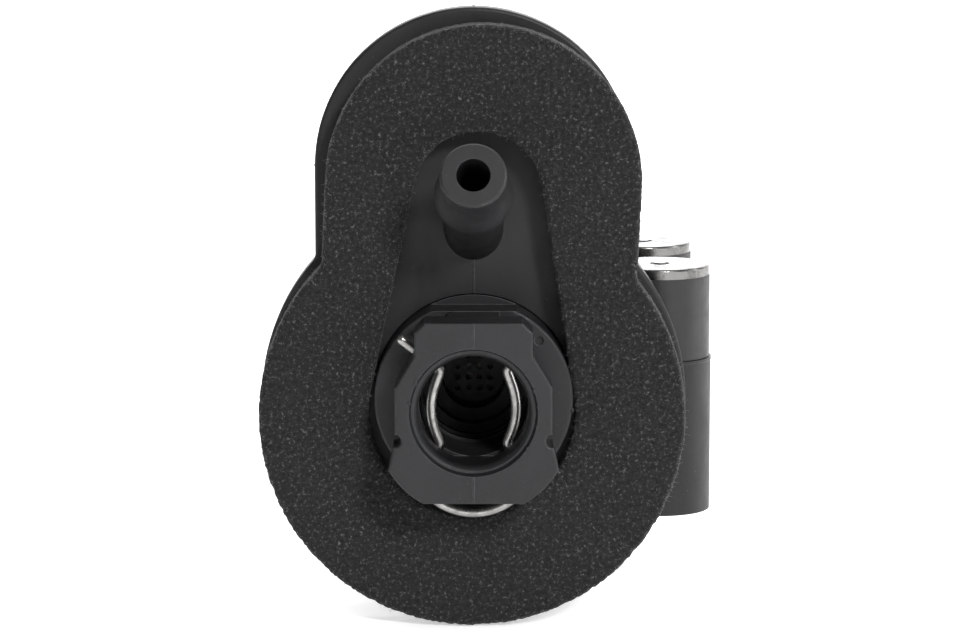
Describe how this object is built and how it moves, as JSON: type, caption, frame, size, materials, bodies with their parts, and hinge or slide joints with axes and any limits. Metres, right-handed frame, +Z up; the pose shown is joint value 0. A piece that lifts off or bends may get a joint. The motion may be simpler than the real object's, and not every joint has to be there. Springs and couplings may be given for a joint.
{
  "type": "toilet inlet valve",
  "caption": "Electric water inlet valve for a toilet: keyhole flange with a foam seal, wire-clip quick-connect inlet, angled hose nipple and solenoid valves on a manifold behind.",
  "frame": {"origin": "on the axis of the inlet socket, in the front face of the flange plate", "axes": "-Y out of the inlet socket towards the front, +Z up along the flange, +X to the solenoid side"},
  "size_m": [0.0645, 0.0724, 0.0869],
  "materials": {
    "black_plastic": "satin black glass-filled plastic with faint mould lines",
    "coil_plastic": "fine matt black overmould",
    "foam": "closed-cell foam, small open cells on the cut faces",
    "rubber": "smooth black",
    "spring_steel": "drawn stainless wire",
    "plated_steel": "bright zinc plate, fine turning marks",
    "stainless": "turned",
    "tinned_brass": "tinned",
    "copper": "enamelled winding wire",
    "white_plastic": "natural acetal",
    "grey_plastic": "matt grey acetal"
  },
  "bodies": {
    "valve_body": {"front_plate": "black_plastic", "foam_seal": "foam", "inlet_connector": "black_plastic", "inlet_o_rings": "rubber", "spigot_o_ring": "rubber", "inlet_strainer": "black_plastic", "flow_regulator_seat": "grey_plastic", "flow_regulator_washer": "rubber", "check_valve_cage": "grey_plastic", "check_spring": "spring_steel", "manifold_body": "black_plastic", "manifold_gasket": "rubber", "manifold_screws": "plated_steel", "core_plugs": "black_plastic", "coil_housing_a": "coil_plastic", "coil_cap_a": "plated_steel", "yoke_sleeve_a": "plated_steel", "coil_bobbin_a": "white_plastic", "coil_winding_a": "copper", "fixed_core_a": "stainless", "guide_tube_a": "stainless", "guide_tube_o_ring_a": "rubber", "plunger_spring_a": "spring_steel", "coil_terminals_a": "tinned_brass", "coil_housing_b": "coil_plastic", "coil_cap_b": "plated_steel", "yoke_sleeve_b": "plated_steel", "coil_bobbin_b": "white_plastic", "coil_winding_b": "copper", "fixed_core_b": "stainless", "guide_tube_b": "stainless", "guide_tube_o_ring_b": "rubber", "plunger_spring_b": "spring_steel", "coil_terminals_b": "tinned_brass"},
    "retaining_clip": {"retaining_clip": "spring_steel"},
    "plunger_a_body": {"plunger_a": "stainless", "plunger_seal_a": "rubber"},
    "plunger_b_body": {"plunger_b": "stainless", "plunger_seal_b": "rubber"},
    "check_poppet_body": {"check_poppet": "white_plastic", "check_poppet_seal": "rubber"}
  },
  "joints": [
    {"name": "retaining_clip_slide", "type": "slide", "parent": "valve_body", "child": "retaining_clip", "axis": [0, 0, -1], "range_m": [0, 0.014]},
    {"name": "plunger_a_lift", "type": "slide", "parent": "valve_body", "child": "plunger_a_body", "axis": [0, 0, 1], "range_m": [0, 0.0014], "stiffness_N_per_m": 150, "springref_m": -0.004, "deforming": ["plunger_spring_a"]},
    {"name": "plunger_b_lift", "type": "slide", "parent": "valve_body", "child": "plunger_b_body", "axis": [0, 0, 1], "range_m": [0, 0.0014], "stiffness_N_per_m": 150, "springref_m": -0.004, "deforming": ["plunger_spring_b"]},
    {"name": "check_poppet_slide", "type": "slide", "parent": "valve_body", "child": "check_poppet_body", "axis": [0, 1, 0], "range_m": [0, 0.0025], "stiffness_N_per_m": 30, "springref_m": -0.003, "deforming": ["check_spring"]}
  ]
}
